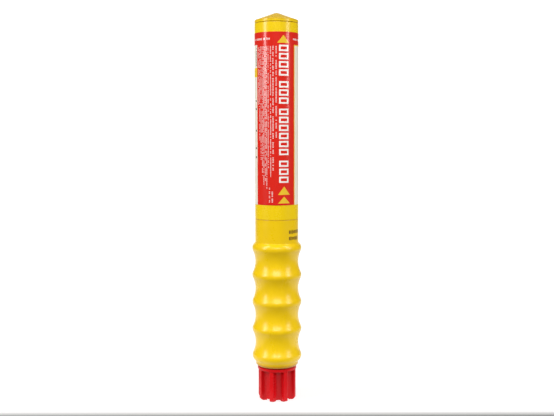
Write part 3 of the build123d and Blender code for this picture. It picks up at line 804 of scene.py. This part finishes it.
def nose_cap_shell():
    """Shallow conical cap with a round tip, outer rim and hollow plug skirt."""
    lift = NOSE_TIP_ROUND * (math.hypot(1, NOSE_SLOPE) - 1)
    apex_z = NOSE_TIP_Z + lift
    inner_z = apex_z - NOSE_WALL * math.hypot(1, NOSE_SLOPE)
    seal_z = (NOSE_SKIRT_LOW_Z + NOSE_RIM_LOW_Z) / 2
    slope = math.degrees(math.atan(NOSE_SLOPE))
    tip = arc_points((0, NOSE_TIP_Z - NOSE_TIP_ROUND), NOSE_TIP_ROUND, 90, 90 - slope, 8)
    body = rounded((
        (tip[-1].x, tip[-1].y, 0),
        (NOSE_RIM_R, apex_z - NOSE_RIM_R * NOSE_SLOPE, 0.7),
        (NOSE_RIM_R, NOSE_RIM_LOW_Z, 0.35),
        (NOSE_SKIRT_R, NOSE_RIM_LOW_Z, 0),
        (NOSE_SKIRT_R, seal_z + 0.9, 0),
        (NOSE_SKIRT_R - 1.1, seal_z + 0.9, 0),
        (NOSE_SKIRT_R - 1.1, seal_z - 0.9, 0),
        (NOSE_SKIRT_R, seal_z - 0.9, 0),
        (NOSE_SKIRT_R, NOSE_SKIRT_LOW_Z, 0.5),
        (NOSE_SKIRT_BORE_R, NOSE_SKIRT_LOW_Z, 0.3),
        (NOSE_SKIRT_BORE_R, inner_z - NOSE_SKIRT_BORE_R * NOSE_SLOPE, 0.8),
        (0, inner_z, 0),
    ))
    outline = [Vector((point.x, point.y)) for point in tip[:-1]] + body
    finish_mesh(spun(outline), "nose_cap_shell", "tube_yellow", "nose_cap", ["nose_cap"])


def wrap_film():
    """Printed film wound once round the tube, its outer end lapped over the inner one behind."""
    lap = math.radians(16)
    start = math.radians(102)
    height = WRAP_TOP_Z - WRAP_LOW_Z
    levels = (0.0, 0.2, 45.0, 90.0, height - 0.2, height)
    mesh = bmesh.new()
    bmesh.ops.create_grid(mesh, x_segments=200, y_segments=len(levels) - 1, size=1.0)
    for vert in mesh.verts:
        angle = start + (vert.co.x + 1) / 2 * (math.tau + lap)
        over = min(1.0, max(0.0, (angle - start - math.tau + 0.1) / 0.1))
        radius = TUBE_R + 0.03 + 0.1 * over
        level = levels[round((vert.co.y + 1) / 2 * (len(levels) - 1))]
        place = (radius * math.cos(angle), radius * math.sin(angle), WRAP_LOW_Z + level)
        vert.co = Vector(place) * MM
    piece = finish_mesh(mesh, "wrap_film", "printed_film", "grip", ["tube_label"])
    wall = piece.modifiers.new("film", "SOLIDIFY")
    wall.thickness = WRAP_THICKNESS * MM
    wall.offset = 1.0


# Turned pieces: node, slot, body and outline corners as (radius, height, corner round)

def turned(node, slot, body, *corners, segments=96):
    """One spun piece that stands for one CAD node."""
    return finish_mesh(spun(rounded(corners), segments), node + "_turned", slot, body, [node])


def seal(node, body, centre_r, height, section_r):
    """Round-section rubber seal ring."""
    outline = arc_points((centre_r, height), section_r, 0, 360 - 360 / 16, 15)
    finish_mesh(spun(outline, 96), node + "_ring", "black_rubber", body, [node], 60)


def firing_parts():
    """Seals, bushes, primer, pins, balls and spring of the pull mechanism."""
    turned(
        "base_cap_washer", "black_rubber", "cap_washer",
        (12.6, 26.75, 0.1), (13.8, 26.75, 0.25), (13.8, 27.45, 0.25), (12.6, 27.45, 0.1),
    )
    seal("tube_joint_seal", "grip", 16.43, 120.9, 0.8)
    seal("breech_seal", "grip", 15.03, 74.5, 0.57)
    seal("rod_seal", "grip", 2.26, 39.9, 0.48)
    turned(
        "primer_holder", "brass", "grip",
        (2.85, 71.0, 0.15), (5.6, 71.0, 0.25), (5.6, 75.35, 0.25), (1.1, 75.35, 0.2),
        (1.1, 74.45, 0), (2.85, 74.45, 0),
    )
    turned(
        "primer", "brass", "grip",
        (0, 71.3, 0), (2.8, 71.3, 0.4), (2.8, 74.4, 0.15), (0, 74.4, 0),
        segments=64,
    )
    turned(
        "rod_bush", "brass", "grip",
        (1.75, 34.5, 0.2), (6.2, 34.5, 0.35), (6.2, 36.0, 0.15), (4.6, 36.0, 0),
        (4.6, 43.0, 0.25), (1.75, 43.0, 0.2), (1.75, 40.6, 0), (2.8, 40.6, 0), (2.8, 39.2, 0),
        (1.75, 39.2, 0),
        segments=64,
    )
    turned(
        "firing_pin", "bright_steel", "striker",
        (0, 65.3, 0), (1.4, 65.3, 0.15), (1.4, 67.6, 0.2), (0.8, 68.4, 0.2), (0.8, 69.2, 0.6),
        (0, 69.2, 0),
        segments=48,
    )
    turned(
        "pull_rod", "steel", "pull_knob",
        (0, 15.5, 0), (1.7, 15.5, 0.2), (1.7, 58.7, 0), (2.9, 59.7, 0.2), (2.9, 60.6, 0.2),
        (2.1, 61.4, 0.3), (2.1, 63.2, 0.3), (2.9, 64.0, 0.2), (2.9, 64.6, 0.1),
        (2.4, 65.1, 0.2), (0, 65.1, 0),
        segments=64,
    )
    balls = bmesh.new()
    for index in range(BALL_COUNT):
        turn = Matrix.Rotation(math.tau * index / BALL_COUNT, 3, "Z")
        ball = bmesh.ops.create_uvsphere(
            balls, u_segments=32, v_segments=20, radius=BALL_R * MM,
        )["verts"]
        bmesh.ops.translate(balls, verts=ball, vec=(BALL_CENTRE_R * MM, 0, BALL_Z * MM))
        bmesh.ops.rotate(balls, verts=ball, cent=CENTRE, matrix=turn)
    finish_mesh(balls, "sear_balls_round", "bright_steel", "striker", ["sear_balls"], 80)
    wire = bmesh.new()
    section = arc_points((SPRING_COIL_R, SPRING_LOW_Z), SPRING_WIRE_R, 0, 330, 11)
    coil(wire, section, 0, 360 * SPRING_TURNS, SPRING_TOP_Z - SPRING_LOW_Z, 48 * SPRING_TURNS)
    spring = finish_mesh(wire, "striker_coil", "steel", "grip", ["striker_spring"], 60)
    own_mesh(spring)


def rocket_parts():
    """Seat, nozzle, motor, expelling cup and payload canister."""
    turned(
        "seat_washer", "cork", "grip",
        (9.0, 78.0, 0.25), (14.0, 78.0, 0.3), (14.0, 79.95, 0.3), (9.0, 79.95, 0.25),
    )
    turned(
        "nozzle", "nozzle_composite", "rocket",
        (8.0, 80.0, 0.3), (ROCKET_R, 80.0, 0.5), (ROCKET_R, 82.0, 0.2), (12.65, 82.0, 0),
        (12.65, 90.0, 0.3), (9.0, 90.0, 0.5), (2.8, 87.2, 0.4), (2.8, 85.6, 0.4),
    )
    turned(
        "nozzle_closure", "foil", "rocket",
        (0, 85.7, 0), (2.75, 85.7, 0.2), (2.75, 87.1, 0.2), (0, 87.1, 0),
        segments=48,
    )
    turned(
        "motor_case", "painted_steel", "rocket",
        (MOTOR_BORE_R, 82.0, 0.2), (ROCKET_R, 82.0, 0.3), (ROCKET_R, 142.8, 0.8),
        (13.4, 143.7, 0.5), (13.4, 144.9, 0.5), (ROCKET_R, 145.8, 0.8), (ROCKET_R, 150.0, 0.25),
        (MOTOR_BORE_R, 150.0, 0.2),
        segments=128,
    )
    turned(
        "propellant_grain", "charge_grey", "rocket",
        (3.2, 91.0, 0.4), (12.5, 91.0, 0.6), (12.5, 138.5, 0.6), (3.2, 138.5, 0.4),
    )
    turned(
        "motor_bulkhead", "aluminium", "rocket",
        (2.6, 139.0, 0.3), (12.65, 139.0, 0.4), (12.65, 150.0, 0), (12.95, 150.0, 0.05),
        (12.95, 157.0, 0.3), (8.0, 157.0, 0.3), (8.0, 154.0, 0), (2.6, 154.0, 0.2),
    )
    turned(
        "delay_element", "brass", "rocket",
        (0, 139.1, 0), (2.55, 139.1, 0.2), (2.55, 154.0, 0.2), (0, 154.0, 0),
        segments=48,
    )
    turned(
        "expelling_cup", "white_plastic", "rocket",
        (0, 154.1, 0), (7.9, 154.1, 0.4), (7.9, 157.0, 0), (11.5, 157.0, 0.3),
        (11.5, 162.0, 0.9), (0, 162.0, 0),
    )
    turned(
        "payload_canister", "aluminium", "rocket",
        (CANISTER_BORE_R, 150.0, 0.2), (ROCKET_R, 150.0, 0.25), (ROCKET_R, 284.0, 0.3),
        (CANISTER_BORE_R, 284.0, 0.25),
        segments=128,
    )


def payload_parts():
    """Wad, candle, swivel, lid and pad."""
    wad = turned(
        "pusher_wad", "felt", "payload",
        (0, 162.4, 0), (PAYLOAD_R, 162.4, 0.9), (PAYLOAD_R, 166.0, 0.9), (0, 166.0, 0),
    )
    case_r, bead_z = PAYLOAD_R - 0.1, CANDLE_TOP_Z - 8
    turned(
        "candle_case", "aluminium", "payload",
        (11.7, 166.0, 0.2), (case_r, 166.0, 0.3), (case_r, bead_z - 1.3, 0.8),
        (case_r - 0.5, bead_z - 0.5, 0.5), (case_r - 0.5, bead_z + 0.5, 0.5),
        (case_r, bead_z + 1.3, 0.8), (case_r, CANDLE_TOP_Z, 0), (11.7, CANDLE_TOP_Z, 0),
        segments=128,
    )
    turned(
        "candle_fill", "candle_red", "payload",
        (0, 167.0, 0), (11.65, 167.0, 0.8), (11.65, 220.0, 0.5), (0, 220.0, 0),
    )
    turned(
        "candle_end_cap", "aluminium", "payload",
        (0, 221.0, 0), (11.65, 221.0, 0.3), (11.65, 226.0, 0), (case_r, 226.0, 0.1),
        (case_r, 227.2, 0.5), (4.0, 227.2, 0.3), (4.0, 229.0, 0.4), (1.6, 229.0, 0.2),
        (1.6, 224.0, 0), (0, 224.0, 0),
    )
    swivel = spun(rounded((
        (0, 224.1, 0), (1.5, 224.1, 0.2), (1.5, 229.1, 0), (2.6, 229.1, 0.3), (2.6, 230.2, 0.3),
        (1.5, 230.2, 0), (1.5, 230.6, 0.3), (0, 230.6, 0),
    )), 64)
    eye = bmesh.ops.create_circle(swivel, segments=24, radius=0.9 * MM)["verts"]
    bmesh.ops.translate(swivel, verts=eye, vec=(2.9 * MM, 0, EYE_Z * MM))
    rim = list({edge for vert in eye for edge in vert.link_edges})
    bmesh.ops.spin(
        swivel, geom=rim + eye, cent=(0, 0, EYE_Z * MM), axis=(0, 1, 0), angle=math.tau,
        steps=64, use_merge=True,
    )
    finish_mesh(swivel, "suspension_swivel_eye", "steel", "swivel", ["suspension_swivel"], 50)
    turned(
        "canister_lid", "white_plastic", "payload",
        (0, 282.4, 0), (11.7, 282.4, 0.5), (11.7, 280.4, 0.3), (PAYLOAD_R, 280.4, 0.3),
        (PAYLOAD_R, 284.05, 0), (ROCKET_R, 284.05, 0.2), (ROCKET_R, 285.0, 0.35), (0, 285.0, 0),
    )
    pad = turned(
        "nose_pad", "foam", "payload",
        (0, 285.05, 0), (13.5, 285.05, 0.9), (13.5, 287.8, 0.9), (0, 287.8, 0),
    )


def parachute_bundle():
    """Folded canopy packed as one pleated bundle, drawn in where its two bands hold it."""
    side_r, steps = PAYLOAD_R - 0.1, 60
    straight = BUNDLE_TOP_Z - BUNDLE_LOW_Z - 6.4
    corners = [(0, BUNDLE_LOW_Z, 0), (side_r, BUNDLE_LOW_Z, 3.0)]
    for step in range(1, steps):
        corners.append((side_r, BUNDLE_LOW_Z + 3.2 + straight * step / steps, 0))
    corners += [(side_r, BUNDLE_TOP_Z, 3.0), (0, BUNDLE_TOP_Z, 0)]
    mesh = spun(rounded(corners), 288)
    for vert in mesh.verts:
        height = vert.co.z / MM
        angle = math.atan2(vert.co.y, vert.co.x)
        reach = math.hypot(vert.co.x, vert.co.y) / MM / PAYLOAD_R
        near = min(abs(height - waist) for waist in BUNDLE_WAISTS)
        hold = math.exp(-((near / 2.0) ** 2))
        tier = sum(height > waist for waist in BUNDLE_WAISTS)
        pleat = abs(math.sin(9 * angle + 0.05 * height + 1.7 * tier)) ** 0.5
        crease = math.sin(31 * angle + 0.6 * height) + math.sin(0.9 * height + 5 * angle)
        inward = (1 - pleat) * 0.95 * (1 - 0.5 * hold) + (1 + crease / 2) * 0.12 + hold * 0.75
        scale = 1 - inward * reach / PAYLOAD_R
        vert.co.x *= scale
        vert.co.y *= scale
    bundle = finish_mesh(
        mesh, "parachute_bundle", "parachute_cloth", "payload", ["parachute_pack"], 75,
    )
    bands = bmesh.new()
    for waist in BUNDLE_WAISTS:
        section = (
            (11.95, waist - 0.6), (12.45, waist - 0.6), (12.5, waist),
            (12.45, waist + 0.6), (11.95, waist + 0.6),
        )
        coil(bands, section, 0, 358, 0.0, 128)
    finish_mesh(bands, "parachute_bands_woven", "elastic", "payload", ["parachute_bands"])


launch_tube_shell()
grip_shell()
nose_cap_shell()
wrap_film()
softened("base_cap", 0.25, "cap_red", "base_cap")
softened("mechanism_housing", 0.25, "black_plastic", "grip")
softened("breech_plate", 0.2, "aluminium", "grip")
softened("breech_screws", 0.12, "steel", "grip")
softened("striker", 0.15, "steel", "striker")
softened("pull_knob", 0.2, "black_plastic", "pull_knob")
softened("knob_pin", 0.12, "steel", "pull_knob")
seal("nose_cap_seal", "nose_cap", 14.885, (NOSE_SKIRT_LOW_Z + NOSE_RIM_LOW_Z) / 2, 0.665)
firing_parts()
rocket_parts()
payload_parts()
parachute_bundle()

# Every CAD node that still shows takes its slot's finish
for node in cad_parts.values():
    if node.hide_render:
        continue
    slot_name = node.data.materials[0].name.split(".")[0]
    for slot in node.material_slots:
        slot.link = "OBJECT"
        slot.material = FINISHES[slot_name].material


# Stage

def aimed(place, target):
    """Rotation that points a lamp or a camera from one place at another."""
    return (Vector(target) - Vector(place)).to_track_quat("-Z", "Y").to_euler()


def lamp(name, place, target, size, power):
    """Soft rectangular lamp aimed at a point; metres and watts."""
    light = bpy.data.lights.new(name, "AREA")
    light.shape = "RECTANGLE"
    light.size, light.size_y = size
    light.energy = power
    made = bpy.data.objects.new(name, light)
    made.location = place
    made.rotation_euler = aimed(place, target)
    bpy.context.scene.collection.objects.link(made)


def pale_floor():
    """Floor that sweeps up into a backdrop, bright behind the object and grey elsewhere."""
    half, front, back, bend, wall = 3.0, -3.0, 1.6, 0.8, 2.0
    mesh = bmesh.new()
    near = [mesh.verts.new((side * half, front, 0)) for side in (-1, 1)]
    moved = bmesh.ops.extrude_edge_only(mesh, edges=[mesh.edges.new(near)])["geom"]
    verts, edges = only(bmesh.types.BMVert, moved), only(bmesh.types.BMEdge, moved)
    bmesh.ops.translate(mesh, verts=verts, vec=(0, back - front, 0))
    swept = bmesh.ops.spin(
        mesh, geom=edges + verts, cent=(0, back, bend), axis=(1, 0, 0), angle=math.pi / 2,
        steps=16,
    )["geom_last"]
    top = bmesh.ops.extrude_edge_only(mesh, edges=only(bmesh.types.BMEdge, swept))["geom"]
    bmesh.ops.translate(mesh, verts=only(bmesh.types.BMVert, top), vec=(0, 0, wall))
    bmesh.ops.recalc_face_normals(mesh, faces=mesh.faces)
    data = bpy.data.meshes.new("pale_floor")
    mesh.to_mesh(data)
    mesh.free()
    data.shade_smooth()
    paper = Finish(
        "floor_paper", grey(0.9), 0.8, specular_ior_level=0.05, emission_strength=1.0,
    )
    behind = clamp((paper.y + 48.0) / 14.0, 1.0)
    beside = clamp(((paper.y + 670.0) * 0.36 + 260.0 - abs(paper.x)) / 220.0, 1.0)
    low = clamp((1350.0 - paper.z) / 450.0, 1.0)
    lit = behind & beside & low
    paper.put("Base Color", mix(lit, grey(0.17), grey(0.3)))
    paper.put("Emission Color", mix(lit, grey(0.0), grey(0.8)))
    data.materials.append(paper.material)
    floor = bpy.data.objects.new("pale_floor", data)
    bpy.context.scene.collection.objects.link(floor)


pale_floor()
middle = (0, 0, 0.15)
lamp("left_softbox", (-1.36, -0.74, 1.15), middle, (0.34, 1.9), 25.0)
lamp("right_softbox", (1.36, -0.74, 1.15), middle, (0.34, 1.9), 19.5)
lamp("front_softbox", (0, -1.85, 1.25), middle, (1.4, 0.5), 17.5)
lamp("backdrop_lamp", (0, 1.0, 1.6), (0, 2.2, 0.8), (2.4, 0.6), 40.0)

world = bpy.data.worlds.new("studio")
world.use_nodes = True
background = world.node_tree.nodes["Background"]
background.inputs["Color"].default_value = (1.0, 0.82, 0.64, 1)
background.inputs["Strength"].default_value = 0.2
bpy.context.scene.world = world
bpy.context.scene.view_settings.view_transform = "Standard"

lens = bpy.data.cameras.new("camera")
lens.lens = 55.7
lens.sensor_width = 36.0
camera = bpy.data.objects.new("camera", lens)
camera.location = (0.0002, -0.670, 0.2105)
camera.rotation_euler = aimed(camera.location, (0.0002, 0, 0.152))
camera.rotation_euler.rotate_axis("Z", math.radians(-0.1))
bpy.context.scene.collection.objects.link(camera)
bpy.context.scene.camera = camera
